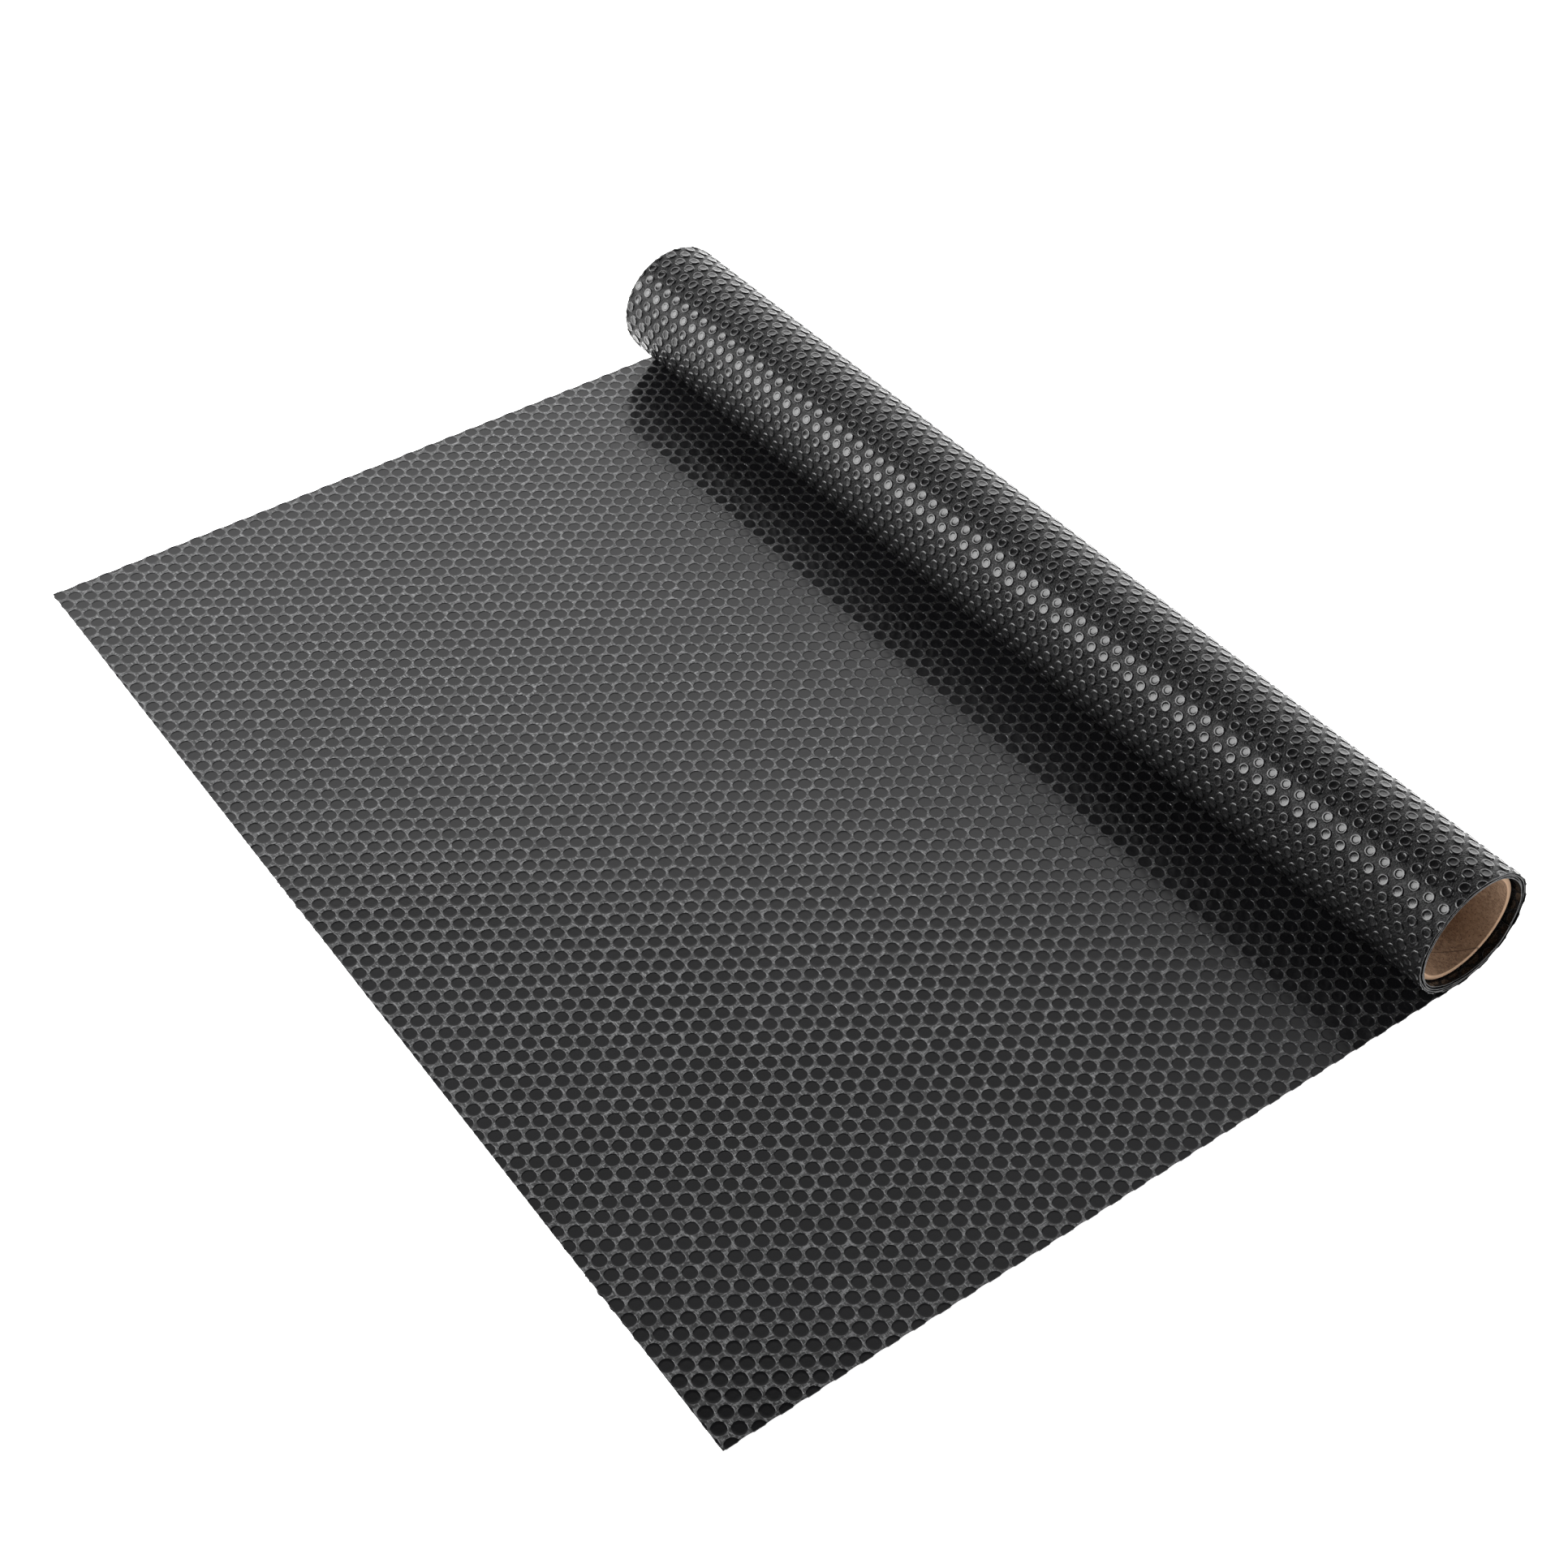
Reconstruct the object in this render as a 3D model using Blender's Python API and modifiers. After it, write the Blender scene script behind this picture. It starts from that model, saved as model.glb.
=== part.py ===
"""Half-unrolled anti-slip mat on a cardboard core.

One sheet of thin embossed mat. Its free end lies flat, and the rest is wound on a cardboard tube.
The flat stretch is divided into strips of two stud rows, which are hinged to each other at their
upper face, so that the flat stretch can roll up onto the winding.

Metres, +Z up. +X runs from the free end to the winding, +Y along the winding's axis.
The origin is at the centre of the bounding box, on the floor.
"""

from math import cos, pi, radians, sin, sqrt

import bmesh
import bpy
from mathutils import Vector

# Sheet
SHEET_WIDTH = 0.500
SHEET_LENGTH = 1.000
SHEET_THICKNESS = 0.0006
STUD_ROW_PITCH = 0.005325
ROWS_PER_STRIP = 2
STRIP_COUNT = 30
FREE_END_SKEW = 0.0124  # how much further the free end reaches on the -Y side than on the +Y side

# Cardboard core
CORE_BORE = 0.043
CORE_WALL = 0.002
CORE_RECESS = 0.004  # from each end of the winding

# Clearances
JOINT_GAP = 0.0003  # between neighbouring strips
LAYER_GAP = 0.00016  # between the turns of the winding
CORE_GAP = 0.0003  # between the core and the first turn

FACETS_PER_TURN = 36
MERGE_DISTANCE = 0.00001

# Derived sizes
STRIP_PITCH = ROWS_PER_STRIP * STUD_ROW_PITCH
LEAD_IN = STRIP_PITCH / 2  # flat start of the winding, before it leaves the floor
FLAT_LENGTH = STRIP_COUNT * STRIP_PITCH + LEAD_IN
WOUND_LENGTH = SHEET_LENGTH - FLAT_LENGTH
LAYER_PITCH = SHEET_THICKNESS + LAYER_GAP
CORE_RADIUS = CORE_BORE / 2 + CORE_WALL
FIRST_TURN_RADIUS = CORE_RADIUS + CORE_GAP


def turns_for(length):
    """Number of turns that a length of sheet makes around the core."""
    mean_start = FIRST_TURN_RADIUS + SHEET_THICKNESS / 2
    root = sqrt((2 * pi * mean_start) ** 2 + 4 * pi * LAYER_PITCH * length)
    return (root - 2 * pi * mean_start) / (2 * pi * LAYER_PITCH)


TURNS = turns_for(WOUND_LENGTH)
LAST_TURN_RADIUS = FIRST_TURN_RADIUS + LAYER_PITCH * TURNS  # inner face where it leaves the floor
AXIS_HEIGHT = LAST_TURN_RADIUS + SHEET_THICKNESS


def turn_radius(angle):
    """Inner-face radius of the winding, angle running inwards from where the sheet leaves the floor."""
    return LAST_TURN_RADIUS - LAYER_PITCH * angle / (2 * pi)


# The overhang past the axis is a quarter turn in, where the winding is widest towards +X
OVERHANG = turn_radius(pi / 2) + SHEET_THICKNESS / cos(pi / FACETS_PER_TURN)
OVERALL_LENGTH = FREE_END_SKEW / 2 + FLAT_LENGTH + OVERHANG
AXIS_X = OVERALL_LENGTH / 2 - OVERHANG
FREE_END_X = AXIS_X - FLAT_LENGTH  # on the middle line of the sheet

MAT_BLACK = (0.022, 0.022, 0.024, 1.0)
KRAFT_BROWN = (0.36, 0.24, 0.16, 1.0)


def clear_scene():
    """Remove every object, mesh and collection of an earlier run."""
    for thing in list(bpy.data.objects):
        bpy.data.objects.remove(thing, do_unlink=True)
    for mesh in list(bpy.data.meshes):
        bpy.data.meshes.remove(mesh)
    for collection in list(bpy.data.collections):
        bpy.data.collections.remove(collection)


def new_collection(name):
    """Make a collection and link it to the scene."""
    collection = bpy.data.collections.new(name)
    bpy.context.scene.collection.children.link(collection)
    return collection


def new_material(name, colour, roughness):
    """Plain Principled material for a non-metal."""
    material = bpy.data.materials.new(name)
    material.use_nodes = True
    shader = material.node_tree.nodes["Principled BSDF"]
    shader.inputs["Base Color"].default_value = colour
    shader.inputs["Roughness"].default_value = roughness
    shader.inputs["Metallic"].default_value = 0.0
    return material


def new_object(name, bm, collection, material, location=(0.0, 0.0, 0.0), parent=None):
    """Turn a bmesh into an object at a world location, parented without moving it."""
    mesh = bpy.data.meshes.new(name)
    bm.to_mesh(mesh)
    bm.free()
    mesh.materials.append(material)
    thing = bpy.data.objects.new(name, mesh)
    collection.objects.link(thing)
    thing.location = location
    if parent is not None:
        thing.parent = parent
        thing.location = Vector(location) - world_location(parent)
    return thing


def world_location(thing):
    """Location in the world of an object whose parents are only moved, never turned."""
    place = Vector(thing.location)
    while thing.parent is not None:
        thing = thing.parent
        place += Vector(thing.location)
    return place


def strip_block(start, end):
    """Flat block of sheet from start to end along X, its upper face at Z = 0."""
    bm = bmesh.new()
    bmesh.ops.create_cube(bm, size=1.0)
    bmesh.ops.scale(bm, vec=(end - start, SHEET_WIDTH, SHEET_THICKNESS), verts=bm.verts)
    middle = ((start + end) / 2, 0.0, -SHEET_THICKNESS / 2)
    bmesh.ops.translate(bm, vec=middle, verts=bm.verts)
    return bm


def make_free_end(collection, material):
    """First strip, cut slightly out of square at its free edge. It stays on the floor."""
    bm = strip_block(0.0, STRIP_PITCH - JOINT_GAP / 2)
    for vert in bm.verts:
        if vert.co.x < STRIP_PITCH / 2:
            vert.co.x += FREE_END_SKEW * vert.co.y / SHEET_WIDTH
    place = (FREE_END_X, 0.0, SHEET_THICKNESS)
    return new_object("mat_strip_01", bm, collection, material, place)


def make_strip(number, parent, collection, material):
    """One strip, with its origin on the hinge line that it shares with the strip before it."""
    bm = strip_block(JOINT_GAP / 2, STRIP_PITCH - JOINT_GAP / 2)
    place = (FREE_END_X + (number - 1) * STRIP_PITCH, 0.0, SHEET_THICKNESS)
    return new_object(f"mat_strip_{number:02d}", bm, collection, material, place, parent)


def winding_points():
    """Inner-face points of the winding from its flat lead-in to the core, about the last hinge line."""
    steps = int(TURNS * FACETS_PER_TURN)
    points = [Vector((JOINT_GAP / 2, 0.0, 0.0))]
    for step in range(steps + 1):
        angle = 2 * pi * step / FACETS_PER_TURN
        radius = turn_radius(angle)
        x = LEAD_IN + radius * sin(angle)
        z = LAST_TURN_RADIUS - radius * cos(angle)
        points.append(Vector((x, 0.0, z)))
    return points


def make_winding(parent, collection, material):
    """All turns of the sheet around the core: a ribbon along the spiral, thickened outwards."""
    bm = bmesh.new()
    line = [bm.verts.new(point) for point in winding_points()]
    edges = [bm.edges.new(pair) for pair in zip(line, line[1:])]
    bmesh.ops.translate(bm, vec=(0.0, -SHEET_WIDTH / 2, 0.0), verts=bm.verts)
    made = bmesh.ops.extrude_edge_only(bm, edges=edges)["geom"]
    moved = [item for item in made if isinstance(item, bmesh.types.BMVert)]
    bmesh.ops.translate(bm, vec=(0.0, SHEET_WIDTH, 0.0), verts=moved)
    bmesh.ops.recalc_face_normals(bm, faces=bm.faces)
    lead_in_face = min(bm.faces, key=lambda face: face.calc_center_median().z)
    if lead_in_face.normal.z < 0:
        bmesh.ops.reverse_faces(bm, faces=bm.faces)
    place = (AXIS_X - LEAD_IN, 0.0, SHEET_THICKNESS)
    winding = new_object("wound_sheet", bm, collection, material, place, parent)
    wall = winding.modifiers.new("thickness", "SOLIDIFY")
    wall.thickness = SHEET_THICKNESS
    wall.offset = -1.0
    wall.use_even_offset = True
    wall.use_rim = True
    return winding


def make_core(parent, collection, material):
    """Cardboard tube inside the winding, its facets in line with the winding's."""
    half = SHEET_WIDTH / 2 - CORE_RECESS
    bore = CORE_BORE / 2
    profile = ((CORE_RADIUS, half), (CORE_RADIUS, -half), (bore, -half), (bore, half))
    bm = bmesh.new()
    ring = [bm.verts.new((radius, 0.0, height)) for radius, height in profile]
    for pair in zip(ring, ring[1:] + ring[:1]):
        bm.edges.new(pair)
    place = (AXIS_X, 0.0, AXIS_HEIGHT)
    core = new_object("cardboard_core", bm, collection, material, place, parent)
    core.rotation_euler = (radians(90.0), 0.0, 0.0)
    turn = core.modifiers.new("turned tube", "SCREW")
    turn.axis = "Z"
    turn.steps = FACETS_PER_TURN
    turn.render_steps = FACETS_PER_TURN
    turn.use_merge_vertices = True
    turn.merge_threshold = MERGE_DISTANCE
    return core


def main():
    """Build the mat: strips in a chain, then the winding, then the core inside it."""
    clear_scene()
    collection = new_collection("rolled_anti_slip_mat")
    mat_material = new_material("embossed mat", MAT_BLACK, 0.45)
    core_material = new_material("kraft board", KRAFT_BROWN, 0.9)
    previous = make_free_end(collection, mat_material)
    for number in range(2, STRIP_COUNT + 1):
        previous = make_strip(number, previous, collection, mat_material)
    winding = make_winding(previous, collection, mat_material)
    make_core(winding, collection, core_material)


main()
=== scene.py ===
"""A half-unrolled anti-slip mat with round studs on a cardboard core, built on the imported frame."""
import math

import bmesh
import bpy
import numpy as np
from bpy.props import FloatProperty, FloatVectorProperty, IntProperty, PointerProperty
from bpy.types import Operator, Panel, PropertyGroup
from mathutils import Matrix, Quaternion, Vector, noise


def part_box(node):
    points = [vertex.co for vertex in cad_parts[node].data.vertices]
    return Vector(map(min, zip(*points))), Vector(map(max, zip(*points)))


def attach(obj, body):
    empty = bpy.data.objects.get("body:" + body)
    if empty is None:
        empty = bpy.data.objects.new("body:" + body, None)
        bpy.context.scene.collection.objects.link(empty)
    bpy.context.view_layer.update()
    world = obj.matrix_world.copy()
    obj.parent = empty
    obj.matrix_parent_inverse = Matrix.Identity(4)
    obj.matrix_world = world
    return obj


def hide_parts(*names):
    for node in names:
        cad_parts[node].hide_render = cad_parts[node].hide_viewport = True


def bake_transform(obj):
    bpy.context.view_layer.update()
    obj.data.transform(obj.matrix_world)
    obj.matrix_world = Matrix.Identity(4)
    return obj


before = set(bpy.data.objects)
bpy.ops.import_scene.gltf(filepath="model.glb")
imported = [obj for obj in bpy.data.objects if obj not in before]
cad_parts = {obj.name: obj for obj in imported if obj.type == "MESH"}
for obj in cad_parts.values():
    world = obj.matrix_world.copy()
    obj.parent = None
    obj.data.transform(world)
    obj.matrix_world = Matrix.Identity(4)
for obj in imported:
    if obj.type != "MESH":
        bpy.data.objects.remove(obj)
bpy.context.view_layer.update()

bl_info = {
    "name": "Half-Unrolled Anti-Slip Mat",
    "version": (1, 0, 0),
    "blender": (4, 5, 0),
    "location": "View3D > Sidebar > Mat",
    "description": "Builds a studded mat, half laid flat and half wound on a cardboard core",
    "category": "Object",
}

MM = 0.001

# Places taken from the frame.
STRIP_COUNT = sum(1 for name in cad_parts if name.startswith("mat_strip_"))
CORE_LOW, CORE_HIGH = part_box("cardboard_core")
AXIS_X = (CORE_LOW.x + CORE_HIGH.x) / 2
AXIS_Z = (CORE_LOW.z + CORE_HIGH.z) / 2
HALF_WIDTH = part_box("wound_sheet")[1].y
SHEET_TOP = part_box("mat_strip_02")[1].z
STRIP_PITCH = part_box("mat_strip_03")[0].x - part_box("mat_strip_02")[0].x
HINGE_1_X = (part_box("mat_strip_02")[1].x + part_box("mat_strip_03")[0].x) / 2 - STRIP_PITCH
FREE_EDGE_X = HINGE_1_X - STRIP_PITCH
FREE_EDGE_SKEW = 2 * (FREE_EDGE_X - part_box("mat_strip_01")[0].x)
ROW_PITCH = STRIP_PITCH / 2
FLAT_ROWS = 2 * STRIP_COUNT + 1
FLAT_LENGTH = FLAT_ROWS * ROW_PITCH
TURN_RADIUS = AXIS_Z - SHEET_TOP

# How the sheet is wound.
LAYER_PITCH = 0.76 * MM
TURNS = 4.18293
WOUND_PIECES = 4
ROWS_PER_WOUND_PIECE = 8

# One stud, from its middle outwards: where its rings lie on the studded face and on the inner face,
# and how high each ring of the two faces stands over the floor when the studs are underneath.
STUD_SIDES = 12
OUTER_RINGS = [0.0, 1.20 * MM, 1.75 * MM, 2.25 * MM, 2.55 * MM]
INNER_RINGS = [0.0, 1.60 * MM, 2.50 * MM, 2.72 * MM, 2.88 * MM]
OUTER_HEIGHTS = [0.31 * MM, 0.20 * MM, 0.02 * MM, 0.0, 0.42 * MM]
INNER_HEIGHTS = [0.66 * MM, 0.66 * MM, 0.66 * MM, 0.67 * MM, 0.80 * MM]
CRISP_RINGS = (1, 4)
WOUND_INNER_DROP = 0.14 * MM
SIDE_SCALLOP = 0.3 * MM

# Margins for merging, cutting and finding points.
MERGE_GAP = 0.02 * MM
CUT_GAP = 0.001 * MM
ON_LINE = 0.01 * MM
RING_SLACK = 0.05 * MM

# How the lift of the waves and the drop of the wound layers come in.
WAVE_FADE = 0.03
DROP_FADE = 0.02

# The turns under the outer one.
INNER_STEP = 1.3 * MM
INNER_COLUMNS = 20
INNER_CROWDING = 2.6
INNER_FACE_HEIGHT = 0.58 * MM
INNER_STUD_SHARE = 0.6
END_UNEVENNESS = 1.6 * MM
END_UNEVEN_LENGTH = 0.045
END_SHARE = 0.1
PRESSED_AT = math.radians(52)
PRESSED_DEPTH = 0.21 * MM
PRESSED_FROM_LAYER = 0.6

# Where the finishes change, measured from a stud's middle, and how deep their grains are.
SPOT_EDGE = (2.74 * MM, 2.88 * MM)
SPOT_RAGGEDNESS = 0.25 * MM
STUD_EDGE = (2.40 * MM, 2.58 * MM)
CREST_INSIDE = (1.45 * MM, 1.80 * MM)
CREST_OUTSIDE = (2.15 * MM, 2.45 * MM)
FIBRE_DEPTH = 0.06 * MM
PEBBLE_DEPTH = 0.42 * MM
CUT_GRAIN_DEPTH = 0.08 * MM

# The cardboard core.
CORE_RIM = 0.35 * MM
SEAM_LEAD = 0.105
WHOLE_TURNS = 20
PLY = 0.45 * MM
BOARD_END = 0.2 * MM
BOARD_DEPTH = 0.2 * MM

# The camera, above and to the left of the free end.
CAMERA_PLACE = (-0.4374, -0.6035, 0.7029)
CAMERA_LOOK = Vector((0.44416, 0.57168, -0.68986))
CAMERA_RIGHT = Vector((0.80126, -0.59796, 0.02036))
CAMERA_LENS = 59.57

# The studio: a floor a hair under the mat, and a bright wall behind it to the right.
FLOOR_HALF = 6
FLOOR_DROP = 0.05 * MM
FLOOR_GLOW = 0.9
WORLD_GLOW = 0.04
WALL_FOOT = Vector((0.613, 0.79, 0)) * 2.6


class MatSizes(PropertyGroup):
    stud_pitch: FloatProperty(
        name="Stud Pitch", description="Distance between studs along a row",
        default=7.1 * MM, min=0.003, max=0.02, unit="LENGTH")
    wave_height: FloatProperty(
        name="Wave Height", description="How far the flat stretch stands off the floor",
        default=0.16 * MM, min=0.0, max=0.002, unit="LENGTH")
    wave_length: FloatProperty(
        name="Wave Length", description="Distance between the waves of the flat stretch",
        default=0.09, min=0.01, max=0.5, unit="LENGTH")
    core_wall: FloatProperty(
        name="Core Wall", description="Wall of the cardboard tube",
        default=2.0 * MM, min=0.0005, max=0.01, unit="LENGTH")
    core_sides: IntProperty(
        name="Core Sides", description="Facets round the cardboard tube", default=128, min=24, max=256)


class MatColours(PropertyGroup):
    sheet: FloatVectorProperty(
        name="Sheet", description="Moulded surface of the studs", subtype="COLOR",
        size=4, min=0, max=1, default=(0.0022, 0.0022, 0.0024, 1))
    web: FloatVectorProperty(
        name="Inner Web", description="Grained ground between the spots of the inner face", subtype="COLOR",
        size=4, min=0, max=1, default=(0.165, 0.166, 0.168, 1))
    spot: FloatVectorProperty(
        name="Inner Spots", description="Sunken spots of the inner face", subtype="COLOR",
        size=4, min=0, max=1, default=(0.0045, 0.0045, 0.005, 1))
    cut_edge: FloatVectorProperty(
        name="Cut Edge", description="Foamed middle of the sheet where it was cut", subtype="COLOR",
        size=4, min=0, max=1, default=(0.06, 0.06, 0.062, 1))
    board: FloatVectorProperty(
        name="Board", description="Kraft board of the core", subtype="COLOR",
        size=4, min=0, max=1, default=(0.38, 0.245, 0.155, 1))
    board_dark: FloatVectorProperty(
        name="Board Fibres", description="Darker fibres and specks of the board", subtype="COLOR",
        size=4, min=0, max=1, default=(0.165, 0.098, 0.058, 1))
    floor: FloatVectorProperty(
        name="Floor", description="Studio floor", subtype="COLOR",
        size=4, min=0, max=1, default=(0.95, 0.95, 0.95, 1))


# Meshes

def stand(name, data):
    """Puts a mesh, lamp or camera into the scene as a new object at the origin."""
    obj = bpy.data.objects.new(name, data)
    bpy.context.scene.collection.objects.link(obj)
    return obj


def to_mesh(name, bm):
    """Turns a bmesh into a mesh and frees it."""
    mesh = bpy.data.meshes.new(name)
    bm.to_mesh(mesh)
    bm.free()
    return mesh


def read_points(mesh):
    points = np.zeros(len(mesh.vertices) * 3, np.float32)
    mesh.vertices.foreach_get("co", points)
    return points.reshape(-1, 3).astype(float)


def write_points(mesh, points):
    mesh.vertices.foreach_set("co", points.astype(np.float32).ravel())
    mesh.update()


def from_nearest_stud(points, pitch):
    """How far points of the unrolled sheet lie from the nearest stud's middle, along and across."""
    def from_grid(shift_along, shift_across):
        along = (points[:, 0] - shift_along + ROW_PITCH) % (2 * ROW_PITCH) - ROW_PITCH
        across = (points[:, 1] + HALF_WIDTH - shift_across + pitch / 2) % pitch - pitch / 2
        return np.stack([along, across], axis=1)

    even_rows = from_grid(0.5 * ROW_PITCH, 0.5 * pitch)
    odd_rows = from_grid(1.5 * ROW_PITCH, 0.0)
    even_is_nearer = np.hypot(*even_rows.T) < np.hypot(*odd_rows.T)
    return np.where(even_is_nearer[:, None], even_rows, odd_rows)


def cell_outline(pitch):
    """The twelve points of the six-sided cell round a stud: its corners and the middles of its sides."""
    half = pitch / 2
    side_end = ROW_PITCH / 2 - half * half / (2 * ROW_PITCH)
    tip = ROW_PITCH / 2 + half * half / (2 * ROW_PITCH)
    corners = [(tip, 0), (side_end, half), (-side_end, half),
               (-tip, 0), (-side_end, -half), (side_end, -half)]
    outline = []
    for (x1, y1), (x2, y2) in zip(corners, corners[1:] + corners[:1]):
        outline.append(Vector((x1, y1, 0)))
        outline.append(Vector(((x1 + x2) / 2, (y1 + y2) / 2, 0)))
    return outline


def stud_cell(pitch):
    """One stud's disc of rings with crisp edges, opened out into the six-sided cell round it."""
    bm = bmesh.new()
    bmesh.ops.create_circle(bm, cap_ends=True, cap_tris=True, segments=STUD_SIDES, radius=OUTER_RINGS[1])
    outline = cell_outline(pitch)
    for ring, radius in enumerate(OUTER_RINGS[2:] + [None], start=1):
        rim = [edge for edge in bm.edges if edge.is_boundary]
        for edge in rim:
            edge.smooth = ring not in CRISP_RINGS
        grown = bmesh.ops.extrude_edge_only(bm, edges=rim)["geom"]
        for vert in (item for item in grown if isinstance(item, bmesh.types.BMVert)):
            step = round(math.atan2(vert.co.y, vert.co.x) / math.tau * STUD_SIDES) % STUD_SIDES
            vert.co = vert.co.normalized() * radius if radius else outline[step]
    bmesh.ops.recalc_face_normals(bm, faces=bm.faces)
    if next(iter(bm.faces)).normal.z < 0:
        bmesh.ops.reverse_faces(bm, faces=bm.faces)
    return to_mesh("stud_cell", bm)


def cut(bm, place, outward):
    """Cuts everything off on the outward side of an upright plane."""
    bmesh.ops.bisect_plane(
        bm, geom=bm.verts[:] + bm.edges[:] + bm.faces[:], dist=CUT_GAP,
        plane_co=place, plane_no=outward, clear_outer=True)


def stud_rows(first_row, row_count, pitch):
    """Rows of stud cells across the whole width, merged into one web and cut at both sides."""
    cell = stud_cell(pitch)
    bm = bmesh.new()
    columns = math.ceil(2 * HALF_WIDTH / pitch)
    for row in range(first_row, first_row + row_count):
        shift = 0.5 * pitch if row % 2 == 0 else 0.0
        for column in range(columns + 1):
            before = len(bm.verts)
            bm.from_mesh(cell)
            bm.verts.ensure_lookup_table()
            place = Vector(((row + 0.5) * ROW_PITCH, -HALF_WIDTH + shift + column * pitch, 0))
            bmesh.ops.translate(bm, verts=bm.verts[before:], vec=place)
    bmesh.ops.remove_doubles(bm, verts=bm.verts, dist=MERGE_GAP)
    for side in (-1, 1):
        cut(bm, (0, side * HALF_WIDTH, 0), (0, side, 0))
    bpy.data.meshes.remove(cell)
    return bm


def thicken(bm):
    """Gives the flat web two faces and cut sides, and returns the height halfway between the faces."""
    bmesh.ops.solidify(bm, geom=bm.faces[:], thickness=MM)
    bm.normal_update()
    middle = sum(vert.co.z for vert in bm.verts) / len(bm.verts)
    for face in bm.faces:
        face.smooth = True
        centre = face.calc_center_median()
        if abs(face.normal.z) < 0.5:
            face.material_index = 2
            for edge in face.edges:
                edge.smooth = False
        elif centre.z > middle:
            face.material_index = 0
        else:
            face.material_index = 1
    return middle


def emboss(points, is_inner, pitch, inner_drop=0.0):
    """Presses the studs into both faces: each ring of points gets its own radius and height."""
    offset = from_nearest_stud(points, pitch)
    distance = np.hypot(*offset.T)
    outer_height = np.interp(distance, OUTER_RINGS, OUTER_HEIGHTS)
    inner_height = np.interp(distance, OUTER_RINGS, INNER_HEIGHTS) - inner_drop
    in_stud = is_inner & (distance < OUTER_RINGS[-1] + RING_SLACK)
    widened = np.interp(distance, OUTER_RINGS, INNER_RINGS) / np.maximum(distance, ON_LINE)
    step = np.where(in_stud[:, None], offset * (widened - 1)[:, None], 0)
    pressed = points.copy()
    pressed[:, :2] += step
    on_side = np.abs(points[:, 1]) > HALF_WIDTH - ON_LINE
    drawn_in = SIDE_SCALLOP * np.sin(math.pi * (points[:, 0] / (2 * ROW_PITCH) - 0.75)) ** 2
    edge_place = np.sign(points[:, 1]) * (HALF_WIDTH - drawn_in)
    pressed[:, 1] = np.where(on_side, edge_place, np.clip(pressed[:, 1], -HALF_WIDTH, HALF_WIDTH))
    pressed[:, 2] = np.where(is_inner, inner_height, outer_height)
    return pressed


def winding_angle(along):
    """Angle round the axis at which the sheet has used this much length, from the tangent line on."""
    spread = LAYER_PITCH / (4 * math.pi)
    radius = TURN_RADIUS + SHEET_TOP / 2
    return (radius - np.sqrt(np.maximum(radius**2 - 4 * spread * along, 0))) / (2 * spread)


def wound_length(angle):
    """Length of sheet that the winding takes up to this angle."""
    return (TURN_RADIUS + SHEET_TOP / 2) * angle - LAYER_PITCH * angle**2 / (4 * math.pi)


def wind(points):
    """Takes points of the flat sheet (along, across, height) to their places in the row frame."""
    along = points[:, 0] - FLAT_LENGTH
    angle = winding_angle(np.maximum(along, 0))
    radius = TURN_RADIUS - LAYER_PITCH * angle / math.tau + SHEET_TOP - points[:, 2]
    wound = np.stack(
        [AXIS_X + radius * np.sin(angle), points[:, 1], AXIS_Z - radius * np.cos(angle)], axis=1)
    flat = np.stack([FREE_EDGE_X + points[:, 0], points[:, 1], points[:, 2]], axis=1)
    return np.where((along > 0)[:, None], wound, flat)


def smooth_noise(points, scale, seed):
    return np.array([noise.noise(Vector((x / scale + seed, y / scale, seed))) for x, y in points[:, :2]])


def waves(points, sizes):
    """A slight lift of the flat stretch, zero where it meets the winding."""
    lift = 0.5 + 0.9 * smooth_noise(points, sizes.wave_length, 3.7)
    fade = np.clip((FLAT_LENGTH - points[:, 0]) / WAVE_FADE, 0, 1)
    return sizes.wave_height * np.clip(lift, 0, 1) * fade


def keep_flat_place(mesh, points):
    """A UV map that holds each corner's place on the unrolled sheet, in metres."""
    layer = mesh.uv_layers.new(name="sheet_place")
    corners = np.zeros(len(mesh.loops), np.int32)
    mesh.loops.foreach_get("vertex_index", corners)
    layer.data.foreach_set("uv", points[corners, :2].astype(np.float32).ravel())


def add_finishes(obj, materials):
    for material in materials:
        obj.data.materials.append(bpy.data.materials[material])


def finish_sheet(obj, points):
    """Keeps the sheet's flat places, moves it to its own place and gives it its finishes."""
    keep_flat_place(obj.data, points)
    write_points(obj.data, wind(points))
    add_finishes(obj, ("inner_face", "studded_face", "cut_edge"))


# Shader node groups and materials

def group_sockets(group, inputs, outputs):
    for name, kind, default in inputs:
        socket = group.interface.new_socket(name, in_out="INPUT", socket_type=kind)
        socket.default_value = default
    for name, kind in outputs:
        group.interface.new_socket(name, in_out="OUTPUT", socket_type=kind)


def feed(tree, socket, value):
    """Links a socket to another one, or sets it to a plain number or colour."""
    if isinstance(value, bpy.types.NodeSocket):
        tree.links.new(value, socket)
    else:
        socket.default_value = value


def shade(colour, share):
    """A lighter or darker version of a colour."""
    return tuple(min(1, share * channel) for channel in colour[:3]) + (1,)


def maths(tree, operation, first, second=None):
    made = tree.nodes.new("ShaderNodeMath")
    made.operation = operation
    feed(tree, made.inputs[0], first)
    if second is not None:
        feed(tree, made.inputs[1], second)
    return made.outputs[0]


def ramp(tree, value, low, high, out_low=0.0, out_high=1.0):
    made = tree.nodes.new("ShaderNodeMapRange")
    made.interpolation_type = "SMOOTHSTEP"
    for name, number in (("From Min", low), ("From Max", high), ("To Min", out_low), ("To Max", out_high)):
        made.inputs[name].default_value = number
    tree.links.new(value, made.inputs["Value"])
    return made.outputs["Result"]


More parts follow.
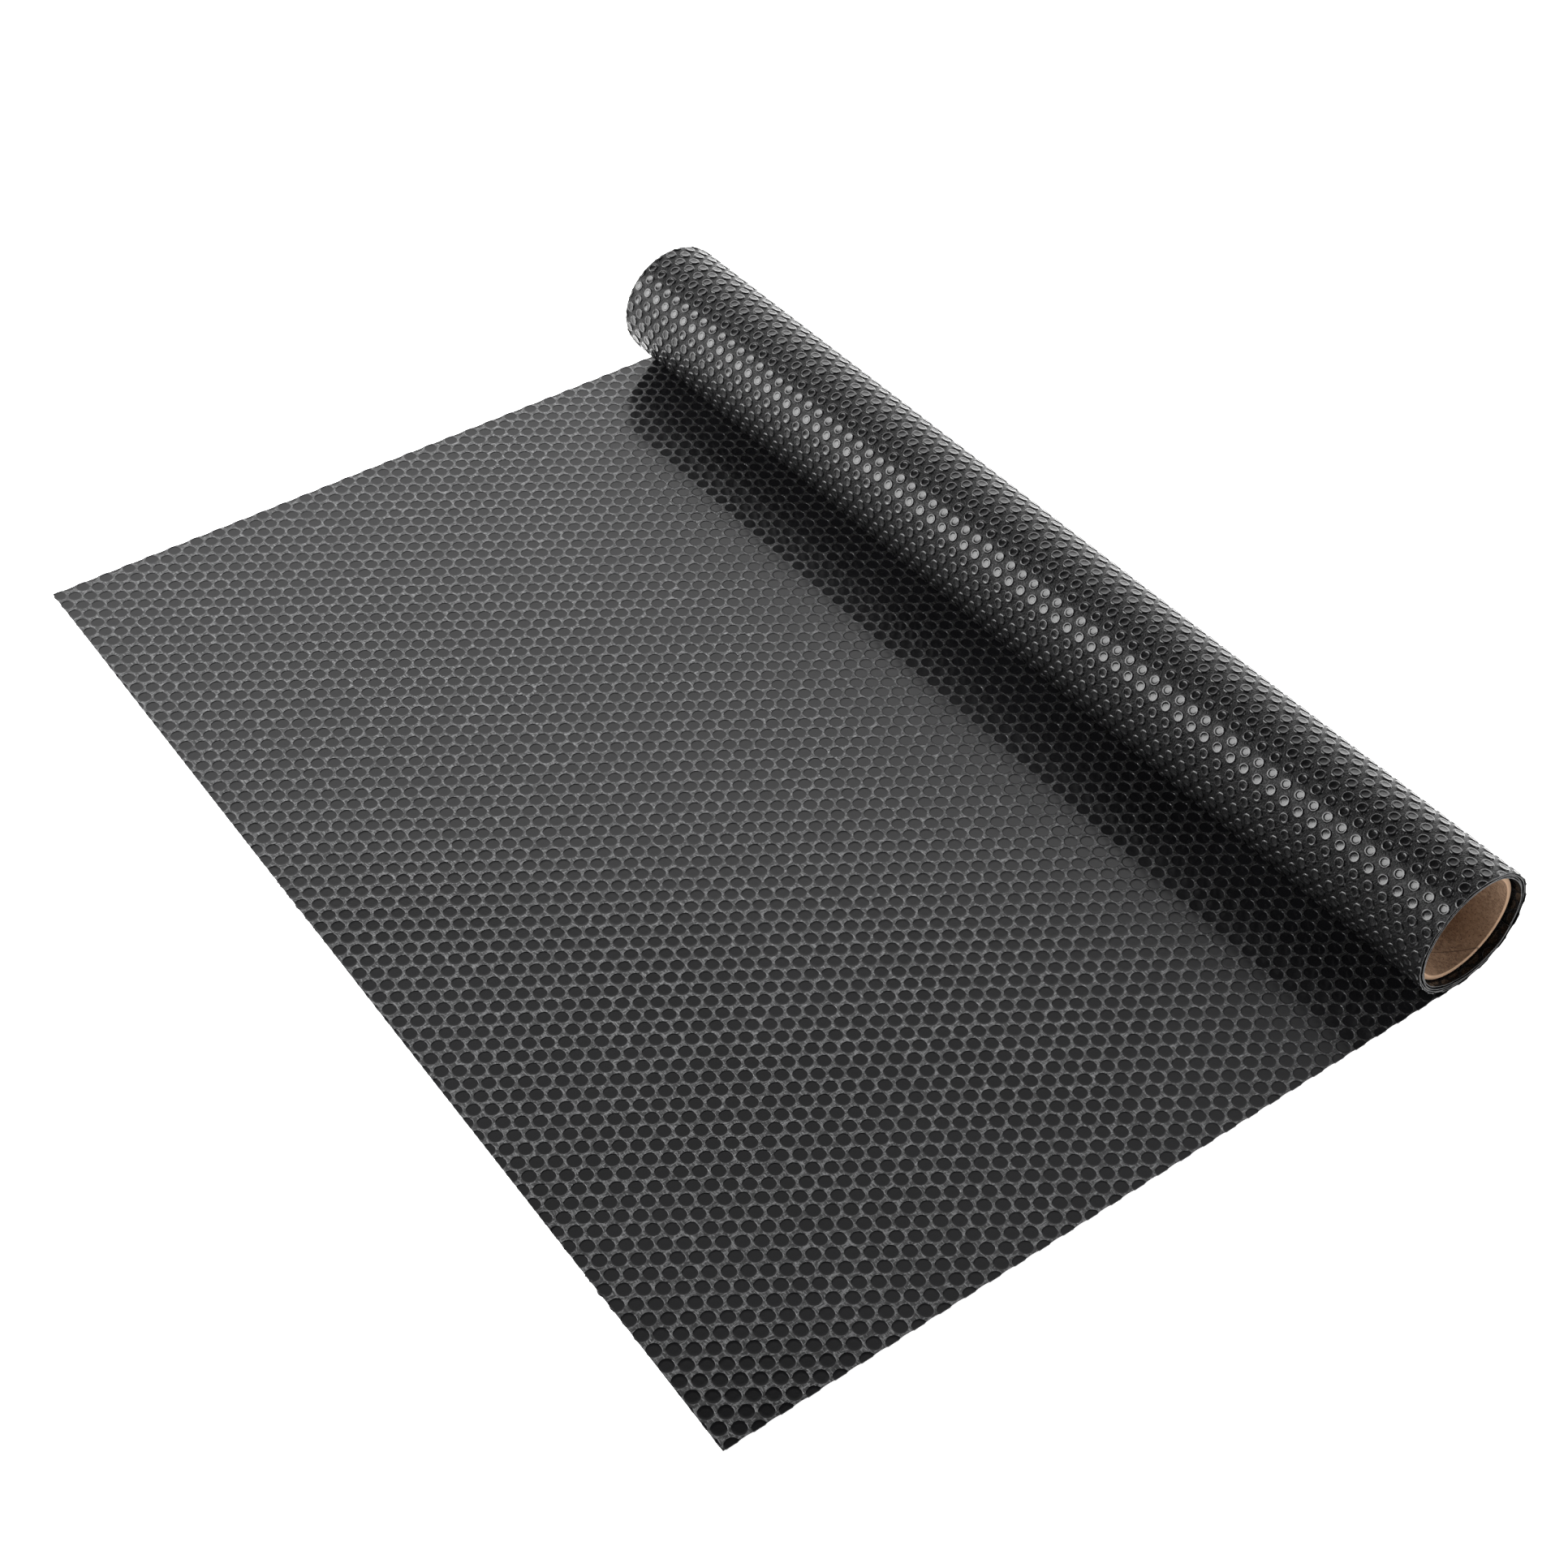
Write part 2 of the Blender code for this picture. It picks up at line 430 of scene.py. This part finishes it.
def mix_colour(tree, factor, first, second):
    made = tree.nodes.new("ShaderNodeMix")
    made.data_type = "RGBA"
    for socket, value in ((made.inputs[0], factor), (made.inputs[6], first), (made.inputs[7], second)):
        feed(tree, socket, value)
    return made.outputs[2]


def noise_texture(tree, vector, scale, detail=2.0, roughness=0.5, distortion=0.0):
    made = tree.nodes.new("ShaderNodeTexNoise")
    for name, number in (("Scale", scale), ("Detail", detail), ("Roughness", roughness),
                         ("Distortion", distortion)):
        made.inputs[name].default_value = number
    tree.links.new(vector, made.inputs["Vector"])
    return made.outputs["Fac"]


def stretched(tree, vector, scale, turn=0.0):
    made = tree.nodes.new("ShaderNodeMapping")
    made.inputs["Scale"].default_value = scale
    made.inputs["Rotation"].default_value = (0, 0, turn)
    tree.links.new(vector, made.inputs["Vector"])
    return made.outputs["Vector"]


def stud_mask_group(pitch):
    """Distance of a place on the sheet to the nearest stud's middle, in metres."""
    group = bpy.data.node_groups.new("Stud Distance", "ShaderNodeTree")
    group_sockets(group, [("Place", "NodeSocketVector", (0, 0, 0))], [("Distance", "NodeSocketFloat")])
    start = group.nodes.new("NodeGroupInput")
    end = group.nodes.new("NodeGroupOutput")
    split = group.nodes.new("ShaderNodeSeparateXYZ")
    group.links.new(start.outputs["Place"], split.inputs[0])

    def grid_distance(shift_along, shift_across):
        along = maths(group, "ADD", split.outputs["X"], ROW_PITCH - shift_along + 20 * ROW_PITCH)
        along = maths(group, "MODULO", along, 2 * ROW_PITCH)
        along = maths(group, "SUBTRACT", along, ROW_PITCH)
        across = maths(group, "ADD", split.outputs["Y"], HALF_WIDTH - shift_across + 1.5 * pitch)
        across = maths(group, "MODULO", across, pitch)
        across = maths(group, "SUBTRACT", across, pitch / 2)
        square = maths(group, "ADD", maths(group, "MULTIPLY", along, along),
                       maths(group, "MULTIPLY", across, across))
        return maths(group, "SQRT", square)

    even = grid_distance(0.5 * ROW_PITCH, 0.5 * pitch)
    odd = grid_distance(1.5 * ROW_PITCH, 0.0)
    group.links.new(maths(group, "MINIMUM", even, odd), end.inputs["Distance"])
    return group


def grain_group():
    """Fine leathery grain: small rounded pebbles with creases between them."""
    group = bpy.data.node_groups.new("Leather Grain", "ShaderNodeTree")
    group_sockets(
        group,
        [("Place", "NodeSocketVector", (0, 0, 0)), ("Size", "NodeSocketFloat", 1.0)],
        [("Height", "NodeSocketFloat")])
    start = group.nodes.new("NodeGroupInput")
    end = group.nodes.new("NodeGroupOutput")
    scaled = group.nodes.new("ShaderNodeVectorMath")
    scaled.operation = "SCALE"
    group.links.new(start.outputs["Place"], scaled.inputs[0])
    group.links.new(start.outputs["Size"], scaled.inputs["Scale"])
    wide = noise_texture(group, scaled.outputs[0], scale=1700, detail=3, roughness=0.6, distortion=0.4)
    fine = noise_texture(group, scaled.outputs[0], scale=4200, detail=2, roughness=0.5)
    pebbles = group.nodes.new("ShaderNodeTexVoronoi")
    pebbles.inputs["Scale"].default_value = 1500
    group.links.new(scaled.outputs[0], pebbles.inputs["Vector"])
    crease = ramp(group, pebbles.outputs["Distance"], 0.2, 0.75, 1.0, 0.0)
    creased = maths(group, "MULTIPLY", crease, 0.5)
    height = maths(group, "ADD", creased, maths(group, "MULTIPLY", wide, 0.35))
    height = maths(group, "ADD", height, maths(group, "MULTIPLY", fine, 0.15))
    group.links.new(height, end.inputs["Height"])
    return group


def haze_group():
    """Uneven haze from handling, in broad soft patches."""
    group = bpy.data.node_groups.new("Handling Haze", "ShaderNodeTree")
    group_sockets(
        group,
        [("Place", "NodeSocketVector", (0, 0, 0)), ("Patch Size", "NodeSocketFloat", 1.0)],
        [("Patches", "NodeSocketFloat")])
    start = group.nodes.new("NodeGroupInput")
    end = group.nodes.new("NodeGroupOutput")
    scaled = group.nodes.new("ShaderNodeVectorMath")
    scaled.operation = "SCALE"
    group.links.new(start.outputs["Place"], scaled.inputs[0])
    group.links.new(start.outputs["Patch Size"], scaled.inputs["Scale"])
    broad = noise_texture(group, scaled.outputs[0], scale=11, detail=3, roughness=0.55, distortion=0.3)
    group.links.new(ramp(group, broad, 0.35, 0.68), end.inputs["Patches"])
    return group


def new_material(name):
    material = bpy.data.materials.new(name)
    material.use_nodes = True
    tree = material.node_tree
    shader = tree.nodes["Principled BSDF"]
    return material, tree, shader


def sheet_place(tree):
    made = tree.nodes.new("ShaderNodeUVMap")
    made.uv_map = "sheet_place"
    return made.outputs["UV"]


def placed_group(tree, name, **sources):
    made = tree.nodes.new("ShaderNodeGroup")
    made.node_tree = bpy.data.node_groups[name]
    for key, value in sources.items():
        feed(tree, made.inputs[key.replace("_", " ").title()], value)
    return made


def bump(tree, shader, height, strength, distance):
    made = tree.nodes.new("ShaderNodeBump")
    made.inputs["Strength"].default_value = strength
    made.inputs["Distance"].default_value = distance
    tree.links.new(height, made.inputs["Height"])
    tree.links.new(made.outputs["Normal"], shader.inputs["Normal"])


def inner_face_material(colours):
    """Upper face of the flat stretch: smooth dark spots sunk in a lighter, fibrous web."""
    _, tree, shader = new_material("inner_face")
    shader.inputs["Specular IOR Level"].default_value = 0.20
    place = sheet_place(tree)
    distance = placed_group(tree, "Stud Distance", place=place).outputs["Distance"]
    haze = placed_group(tree, "Handling Haze", place=place, patch_size=1.0)
    ragged = noise_texture(tree, place, scale=1100, detail=2, roughness=0.6)
    wobble = maths(tree, "MULTIPLY", maths(tree, "SUBTRACT", ragged, 0.5), SPOT_RAGGEDNESS)
    web = ramp(tree, maths(tree, "ADD", distance, wobble), *SPOT_EDGE)
    across = stretched(tree, place, (1, 0.22, 1), turn=0.35)
    along = stretched(tree, place, (0.25, 1, 1), turn=-0.25)
    fibres_across = noise_texture(tree, across, scale=1500, detail=3, roughness=0.65, distortion=0.8)
    fibres_along = noise_texture(tree, along, scale=1300, detail=3, roughness=0.65, distortion=0.8)
    fibres = ramp(tree, maths(tree, "MAXIMUM", fibres_across, fibres_along), 0.50, 0.68)
    web_tone = mix_colour(tree, fibres, shade(colours.web, 0.25), colours.web)
    spot_tone = mix_colour(tree, haze.outputs["Patches"], shade(colours.spot, 0.6), colours.spot)
    tree.links.new(mix_colour(tree, web, spot_tone, web_tone), shader.inputs["Base Color"])
    tree.links.new(maths(tree, "MULTIPLY", web, 0.88), shader.inputs["Metallic"])
    gloss = maths(tree, "ADD", ramp(tree, web, 0, 1, 0.10, 0.27),
                  maths(tree, "MULTIPLY", haze.outputs["Patches"], 0.05))
    tree.links.new(gloss, shader.inputs["Roughness"])
    raised = maths(tree, "MULTIPLY", fibres, web)
    height = maths(tree, "ADD", raised, maths(tree, "MULTIPLY", ragged, 0.12))
    bump(tree, shader, height, 0.5, FIBRE_DEPTH)


def studded_face_material(colours):
    """Outer face: glossy ring studs on a leathery ground."""
    _, tree, shader = new_material("studded_face")
    shader.inputs["Specular IOR Level"].default_value = 0.14
    shader.inputs["Coat IOR"].default_value = 1.28
    shader.inputs["Coat Roughness"].default_value = 0.16
    place = sheet_place(tree)
    distance = placed_group(tree, "Stud Distance", place=place).outputs["Distance"]
    grain = placed_group(tree, "Leather Grain", place=place, size=1.0).outputs["Height"]
    haze = placed_group(tree, "Handling Haze", place=place, patch_size=1.4)
    ground = ramp(tree, distance, *STUD_EDGE)
    crest = maths(tree, "MULTIPLY", ramp(tree, distance, *CREST_INSIDE),
                  ramp(tree, distance, *CREST_OUTSIDE, 1, 0))
    worn = maths(tree, "MULTIPLY", crest, maths(tree, "MULTIPLY", haze.outputs["Patches"], 0.6))
    tone = mix_colour(tree, worn, colours.sheet, shade(colours.sheet, 3))
    tree.links.new(tone, shader.inputs["Base Color"])
    tree.links.new(ramp(tree, ground, 0, 1, 1.0, 0.10), shader.inputs["Coat Weight"])
    gloss = maths(tree, "ADD", ramp(tree, ground, 0, 1, 0.20, 0.33),
                  maths(tree, "MULTIPLY", grain, 0.12))
    tree.links.new(gloss, shader.inputs["Roughness"])
    pebbled = maths(tree, "MULTIPLY", grain, ramp(tree, ground, 0, 1, 0.05, 1.0))
    bump(tree, shader, pebbled, 1.0, PEBBLE_DEPTH)


def cut_edge_material(colours):
    """Cut side of the sheet: a paler, slightly foamed middle."""
    _, tree, shader = new_material("cut_edge")
    coordinates = tree.nodes.new("ShaderNodeTexCoord").outputs["Object"]
    grain = placed_group(tree, "Leather Grain", place=coordinates, size=1.6).outputs["Height"]
    drag = noise_texture(tree, stretched(tree, coordinates, (1, 4, 1)), scale=900, detail=3, roughness=0.6)
    tone = mix_colour(tree, ramp(tree, drag, 0.35, 0.65), shade(colours.cut_edge, 0.45), colours.cut_edge)
    tree.links.new(tone, shader.inputs["Base Color"])
    tree.links.new(ramp(tree, grain, 0, 1, 0.45, 0.7), shader.inputs["Roughness"])
    bump(tree, shader, grain, 0.5, CUT_GRAIN_DEPTH)


def board_material(colours):
    """Spiral-wound kraft board: fibres, specks, a wound seam and ply lines on the ends."""
    _, tree, shader = new_material("spiral_board")
    coordinates = tree.nodes.new("ShaderNodeTexCoord").outputs["Object"]
    centred = tree.nodes.new("ShaderNodeMapping")
    centred.inputs["Location"].default_value = (-AXIS_X, 0, -AXIS_Z)
    tree.links.new(coordinates, centred.inputs["Vector"])
    split = tree.nodes.new("ShaderNodeSeparateXYZ")
    tree.links.new(centred.outputs["Vector"], split.inputs[0])
    x, y, z = (split.outputs[name] for name in "XYZ")
    square = maths(tree, "ADD", maths(tree, "MULTIPLY", x, x), maths(tree, "MULTIPLY", z, z))
    radius = maths(tree, "SQRT", square)
    angle = maths(tree, "DIVIDE", maths(tree, "ARCTAN2", z, x), math.tau)
    turned = maths(tree, "ADD", maths(tree, "DIVIDE", y, SEAM_LEAD), maths(tree, "ADD", angle, WHOLE_TURNS))
    seam = maths(tree, "ABSOLUTE", maths(tree, "SUBTRACT", maths(tree, "FRACT", turned), 0.5))
    seam_line = ramp(tree, seam, 0.0, 0.006, 1, 0)
    laid = stretched(tree, centred.outputs["Vector"], (1, 0.6, 1), turn=0.3)
    fibres = noise_texture(tree, laid, scale=1000, detail=4, roughness=0.75, distortion=0.6)
    cloud = noise_texture(tree, centred.outputs["Vector"], scale=60, detail=3, roughness=0.6)
    specks = noise_texture(tree, centred.outputs["Vector"], scale=1800, detail=2, roughness=0.6)
    tone = mix_colour(tree, ramp(tree, fibres, 0.36, 0.64), colours.board_dark, colours.board)
    tone = mix_colour(tree, ramp(tree, cloud, 0.3, 0.75, 0.0, 0.45), tone, shade(colours.board, 1.35))
    tone = mix_colour(tree, ramp(tree, specks, 0.60, 0.66, 0, 0.8), tone, shade(colours.board_dark, 0.35))
    ply = maths(tree, "FRACT", maths(tree, "MULTIPLY", radius, 1 / PLY))
    ply_line = ramp(tree, maths(tree, "ABSOLUTE", maths(tree, "SUBTRACT", ply, 0.5)), 0.30, 0.5)
    end_mask = maths(tree, "GREATER_THAN", maths(tree, "ABSOLUTE", y), CORE_HIGH.y - BOARD_END)
    end_tone = mix_colour(tree, ply_line, shade(colours.board, 1.5), colours.board)
    tone = mix_colour(tree, end_mask, tone, end_tone)
    seam_share = maths(tree, "MULTIPLY", seam_line, 0.7)
    tone = mix_colour(tree, seam_share, tone, shade(colours.board_dark, 0.4))
    tree.links.new(tone, shader.inputs["Base Color"])
    tree.links.new(ramp(tree, fibres, 0.2, 0.8, 0.72, 0.88), shader.inputs["Roughness"])
    raised = maths(tree, "ADD", fibres, maths(tree, "MULTIPLY", cloud, 0.5))
    sunken = maths(tree, "ADD", seam_line, maths(tree, "MULTIPLY", ply_line, end_mask))
    height = maths(tree, "SUBTRACT", raised, maths(tree, "MULTIPLY", sunken, 0.6))
    bump(tree, shader, height, 0.7, BOARD_DEPTH)


def build_materials(sizes, colours):
    stud_mask_group(sizes.stud_pitch)
    grain_group()
    haze_group()
    inner_face_material(colours)
    studded_face_material(colours)
    cut_edge_material(colours)
    board_material(colours)


# Operators

class MAT_OT_camera(Operator):
    """Place the camera above and to the left of the free end"""
    bl_idname = "mat.camera"
    bl_label = "Camera"

    def execute(self, context):
        data = bpy.data.cameras.new("view")
        data.sensor_width = 36
        data.lens = CAMERA_LENS
        data.clip_start = 0.05
        data.clip_end = 60
        camera = stand("view", data)
        right = CAMERA_RIGHT.normalized()
        up = right.cross(CAMERA_LOOK).normalized()
        turn = Matrix((right, up, -CAMERA_LOOK)).transposed().to_4x4()
        camera.matrix_world = Matrix.Translation(CAMERA_PLACE) @ turn
        context.scene.camera = camera
        return {"FINISHED"}


class MAT_OT_materials(Operator):
    """Make the sheet's and the board's materials"""
    bl_idname = "mat.materials"
    bl_label = "Materials"

    def execute(self, context):
        build_materials(context.scene.mat_sizes, context.scene.mat_colours)
        return {"FINISHED"}


class MAT_OT_free_end(Operator):
    """Build the free end of the mat, cut slightly out of square"""
    bl_idname = "mat.free_end"
    bl_label = "Free End"

    def execute(self, context):
        sizes = context.scene.mat_sizes
        bm = stud_rows(-2, 5, sizes.stud_pitch)
        across = Vector((-FREE_EDGE_SKEW, -2 * HALF_WIDTH, 0)).normalized()
        outward = Vector((across.y, -across.x, 0))
        cut(bm, (0, 0, 0), outward)
        middle = thicken(bm)
        obj = stand("free_end_sheet", to_mesh("free_end_sheet", bm))
        points = read_points(obj.data)
        on_cut = np.abs(points[:, :2] @ np.array(outward[:2])) < ON_LINE
        cut_line = points[on_cut, :2]
        points = emboss(points, points[:, 2] > middle, sizes.stud_pitch)
        points[on_cut, :2] = cut_line
        points[:, 2] += waves(points, sizes)
        finish_sheet(obj, points)
        blend_strips(obj, 1)
        return {"FINISHED"}


def blend_strips(obj, number):
    """Hides the frame's strip that this stretch of sheet takes the place of, and bakes the sheet's
    transform into its mesh.
    """
    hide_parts(f"mat_strip_{number:02d}")
    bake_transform(obj)


class MAT_OT_flat_stretch(Operator):
    """Build the flat stretch, two rows of studs to a piece"""
    bl_idname = "mat.flat_stretch"
    bl_label = "Flat Stretch"

    def execute(self, context):
        sizes = context.scene.mat_sizes
        bm = stud_rows(1, 2, sizes.stud_pitch)
        middle = thicken(bm)
        first = to_mesh("two_rows", bm)
        flat_points = read_points(first)
        flat_points = emboss(flat_points, flat_points[:, 2] > middle, sizes.stud_pitch)
        for number in range(2, STRIP_COUNT + 1):
            obj = stand(f"sheet_{number:02d}", first.copy())
            points = flat_points.copy()
            points[:, 0] += (number - 2) * STRIP_PITCH + 2 * ROW_PITCH
            points[:, 2] += waves(points, sizes)
            finish_sheet(obj, points)
            blend_strips(obj, number)
        bpy.data.meshes.remove(first)
        return {"FINISHED"}


class MAT_OT_outer_turn(Operator):
    """Build the outermost turn of the winding with all its studs"""
    bl_idname = "mat.outer_turn"
    bl_label = "Outer Turn"

    def execute(self, context):
        sizes = context.scene.mat_sizes
        bm = stud_rows(1, ROWS_PER_WOUND_PIECE, sizes.stud_pitch)
        middle = thicken(bm)
        first = to_mesh("wound_rows", bm)
        for number in range(WOUND_PIECES):
            obj = stand(f"outer_turn_{number + 1}", first.copy())
            points = read_points(obj.data)
            is_inner = points[:, 2] > middle
            points[:, 0] += (FLAT_ROWS - 1 + number * ROWS_PER_WOUND_PIECE) * ROW_PITCH
            drop = WOUND_INNER_DROP * np.clip((points[:, 0] - FLAT_LENGTH) / DROP_FADE, 0, 1)
            points = emboss(points, is_inner, sizes.stud_pitch, drop)
            finish_sheet(obj, points)
            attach(obj, "roll")
        bpy.data.meshes.remove(first)
        return {"FINISHED"}


class MAT_OT_inner_turns(Operator):
    """Build the turns under the outer one, loose at one side and pressed at the other"""
    bl_idname = "mat.inner_turns"
    bl_label = "Inner Turns"

    def execute(self, context):
        sizes = context.scene.mat_sizes
        start = (FLAT_ROWS + WOUND_PIECES * ROWS_PER_WOUND_PIECE) * ROW_PITCH
        end = FLAT_LENGTH + wound_length(TURNS * math.tau)
        steps = round((end - start) / INNER_STEP)
        bm = bmesh.new()
        bmesh.ops.create_grid(bm, x_segments=steps, y_segments=INNER_COLUMNS, size=0.5)
        for vert in bm.verts:
            vert.co.x = start + (vert.co.x + 0.5) * (end - start)
            side = math.copysign(1, vert.co.y)
            vert.co.y = side * HALF_WIDTH * (1 - (1 - abs(vert.co.y) * 2) ** INNER_CROWDING)
        middle = thicken(bm)
        obj = stand("inner_turns", to_mesh("inner_turns", bm))
        points = read_points(obj.data)
        is_inner = points[:, 2] > middle
        distance = np.hypot(*from_nearest_stud(points, sizes.stud_pitch).T)
        stud_height = np.interp(distance, OUTER_RINGS, OUTER_HEIGHTS) * INNER_STUD_SHARE
        flat = points.copy()
        flat[:, 2] = np.where(is_inner, INNER_FACE_HEIGHT, stud_height)
        uneven = END_UNEVENNESS * smooth_noise(flat, END_UNEVEN_LENGTH, 8.1)
        past_middle = np.abs(points[:, 1]) - (1 - END_SHARE) * HALF_WIDTH
        near_end = np.clip(past_middle / (END_SHARE * HALF_WIDTH), 0, 1)
        angle = winding_angle(points[:, 0] - FLAT_LENGTH)
        layer = angle / math.tau
        pressed = np.clip(np.cos(angle - PRESSED_AT), 0, 1) ** 2
        flat[:, 2] -= PRESSED_DEPTH * (layer - PRESSED_FROM_LAYER) * pressed
        keep_flat_place(obj.data, points)
        wound = wind(flat)
        wound[:, 1] -= np.abs(uneven) * near_end * np.sign(points[:, 1])
        write_points(obj.data, wound)
        add_finishes(obj, ("studded_face", "studded_face", "cut_edge"))
        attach(obj, "roll")
        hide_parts("wound_sheet")
        return {"FINISHED"}


class MAT_OT_core(Operator):
    """Build the spiral-wound cardboard tube"""
    bl_idname = "mat.core"
    bl_label = "Cardboard Core"

    def execute(self, context):
        sizes = context.scene.mat_sizes
        outer = (CORE_HIGH.x - CORE_LOW.x) / 2
        bm = bmesh.new()
        bore = outer - sizes.core_wall
        corners = [(outer, CORE_LOW.y), (outer, CORE_HIGH.y), (bore, CORE_HIGH.y), (bore, CORE_LOW.y)]
        verts = [bm.verts.new((AXIS_X + radius, y, AXIS_Z)) for radius, y in corners]
        edges = [bm.edges.new((a, b)) for a, b in zip(verts, verts[1:] + verts[:1])]
        bmesh.ops.spin(bm, geom=verts + edges, cent=(AXIS_X, 0, AXIS_Z), axis=(0, 1, 0), angle=math.tau,
                       steps=sizes.core_sides, use_merge=True)
        bmesh.ops.recalc_face_normals(bm, faces=bm.faces)
        rims = [edge for edge in bm.edges if edge.calc_face_angle(0) > 1]
        bmesh.ops.bevel(
            bm, geom=rims, offset=CORE_RIM, segments=3, profile=0.5, affect="EDGES", material=-1)
        for face in bm.faces:
            face.smooth = True
        obj = stand("core_tube", to_mesh("core_tube", bm))
        obj.data.materials.append(bpy.data.materials["spiral_board"])
        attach(obj, "core")
        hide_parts("cardboard_core")
        return {"FINISHED"}


def soft_panel(name, place, target, size, brightness, roll=0.0):
    """A rectangular softbox that points at a place; brightness is what a mirror would show of it."""
    data = bpy.data.lights.new(name, "AREA")
    data.shape = "RECTANGLE"
    data.size, data.size_y = size
    data.energy = brightness * math.pi * size[0] * size[1]
    light = stand(name, data)
    light.location = place
    aim = (Vector(target) - Vector(place)).to_track_quat("-Z", "Y")
    light.rotation_euler = (aim @ Quaternion((0, 0, 1), roll)).to_euler()


class MAT_OT_stage(Operator):
    """Lay the pale floor and set the soft studio light"""
    bl_idname = "mat.stage"
    bl_label = "Stage"

    def execute(self, context):
        bm = bmesh.new()
        bmesh.ops.create_grid(bm, x_segments=1, y_segments=1, size=FLOOR_HALF)
        bmesh.ops.translate(bm, verts=bm.verts, vec=(0, 0, -FLOOR_DROP))
        floor = stand("studio_floor", to_mesh("studio_floor", bm))
        material, _, shader = new_material("studio_floor")
        shader.inputs["Base Color"].default_value = context.scene.mat_colours.floor
        shader.inputs["Roughness"].default_value = 0.9
        shader.inputs["Emission Color"].default_value = (1, 1, 1, 1)
        shader.inputs["Emission Strength"].default_value = FLOOR_GLOW
        floor.data.materials.append(material)

        world = bpy.data.worlds.new("studio")
        world.use_nodes = True
        background = world.node_tree.nodes["Background"]
        background.inputs["Color"].default_value = (1, 1, 1, 1)
        background.inputs["Strength"].default_value = WORLD_GLOW
        context.scene.world = world
        context.scene.view_settings.view_transform = "Standard"

        soft_panel("right_back_wall", WALL_FOOT + Vector((0, 0, 1.4)), target=(0, 0, 1.4),
                   size=(5.5, 2.8), brightness=2.7)
        soft_panel("right_back_top", WALL_FOOT + Vector((0, 0, 3.6)), target=(0, 0, 3.6),
                   size=(5.5, 1.6), brightness=1.0)
        soft_panel("left_back_softbox", (-1.0, 0.95, 0.92), target=(0.12, 0, 0.05),
                   size=(1.9, 0.95), brightness=13, roll=math.radians(47))
        soft_panel("front_fill", (1.0, -1.3, 0.9), target=(0.15, -0.25, 0.03),
                   size=(1.0, 0.6), brightness=6)
        return {"FINISHED"}


class MAT_PT_panel(Panel):
    bl_label = "Anti-Slip Mat"
    bl_idname = "MAT_PT_panel"
    bl_space_type = "VIEW_3D"
    bl_region_type = "UI"
    bl_category = "Mat"

    def draw(self, context):
        column = self.layout.column()
        for settings in (context.scene.mat_sizes, context.scene.mat_colours):
            for name in settings.__annotations__:
                column.prop(settings, name)
        for operator in STEPS:
            column.operator(operator.bl_idname)


STEPS = (MAT_OT_camera, MAT_OT_materials, MAT_OT_free_end, MAT_OT_flat_stretch, MAT_OT_outer_turn,
         MAT_OT_inner_turns, MAT_OT_core, MAT_OT_stage)
CLASSES = (MatSizes, MatColours, *STEPS, MAT_PT_panel)


def register():
    for item in CLASSES:
        bpy.utils.register_class(item)
    bpy.types.Scene.mat_sizes = PointerProperty(type=MatSizes)
    bpy.types.Scene.mat_colours = PointerProperty(type=MatColours)


def unregister():
    del bpy.types.Scene.mat_colours
    del bpy.types.Scene.mat_sizes
    for item in reversed(CLASSES):
        bpy.utils.unregister_class(item)


def main():
    register()
    bpy.ops.mat.camera()
    bpy.ops.mat.materials()
    bpy.ops.mat.free_end()
    bpy.ops.mat.flat_stretch()
    bpy.ops.mat.outer_turn()
    bpy.ops.mat.inner_turns()
    bpy.ops.mat.core()
    bpy.ops.mat.stage()


if __name__ == "__main__":
    main()
